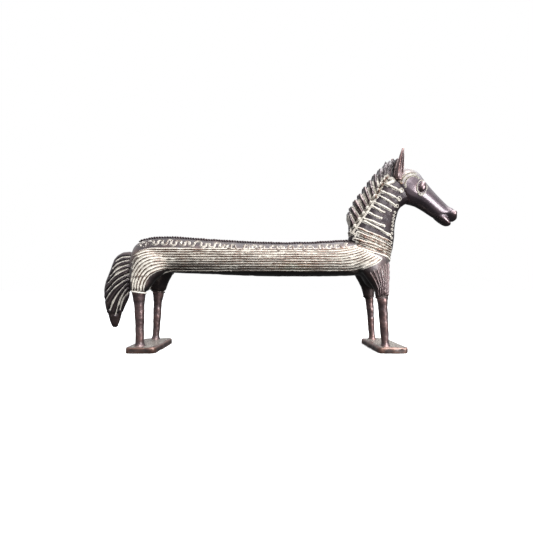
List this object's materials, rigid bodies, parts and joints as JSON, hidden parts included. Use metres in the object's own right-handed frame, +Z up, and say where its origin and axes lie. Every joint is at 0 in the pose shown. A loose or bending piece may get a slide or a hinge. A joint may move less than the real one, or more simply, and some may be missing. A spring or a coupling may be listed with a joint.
{
  "type": "horse statuette",
  "caption": "Long-bodied cast bronze horse on two foot plates, with thread-work flanks, a lock mane, a feather tail and a smooth head.",
  "frame": {"origin": "on the ground, under the middle of the horse's length and width", "axes": "+X towards the nose, +Y towards the horse's left side, +Z up"},
  "size_m": [0.2808, 0.045, 0.1553],
  "materials": {
    "bronze": "dark brown patina, rubbed smooth on the high places",
    "worn_bronze": "red-brown bronze, handled and half polished",
    "thread_bronze": "fine cast threads with pale mould clay left between them",
    "clay": "fired core clay, rough"
  },
  "bodies": {
    "root": {"hind_plate": "bronze", "fore_plate": "bronze", "hind_leg_right": "worn_bronze", "hind_leg_left": "worn_bronze", "fore_leg_right": "worn_bronze", "fore_leg_left": "worn_bronze", "garter_right": "thread_bronze", "garter_left": "thread_bronze", "knee_ring_right": "thread_bronze", "knee_ring_left": "thread_bronze", "haunch_right": "bronze", "haunch_left": "bronze", "shoulder_right": "bronze", "shoulder_left": "bronze", "barrel": "bronze", "clay_core": "clay", "chest": "bronze", "flank_threads_right": "thread_bronze", "flank_threads_left": "thread_bronze", "back_scroll_right": "thread_bronze", "back_scroll_left": "thread_bronze", "back_braid": "bronze", "neck": "bronze", "neck_wraps_right": "thread_bronze", "neck_wraps_left": "thread_bronze", "collar": "thread_bronze", "mane_crest": "bronze", "mane_locks_right": "bronze", "mane_locks_left": "bronze", "mane_rope_right": "thread_bronze", "mane_rope_left": "thread_bronze", "throat_loops_right": "thread_bronze", "throat_loops_left": "thread_bronze", "head": "bronze", "lower_jaw": "bronze", "nostrils": "bronze", "brow_band": "thread_bronze", "eye_right": "bronze", "eye_left": "bronze", "eye_rim_right": "thread_bronze", "eye_rim_left": "thread_bronze", "ear_right": "worn_bronze", "ear_left": "worn_bronze", "tail": "bronze", "tail_locks_right": "thread_bronze", "tail_locks_left": "thread_bronze", "tail_tip": "bronze"}
  },
  "joints": []
}
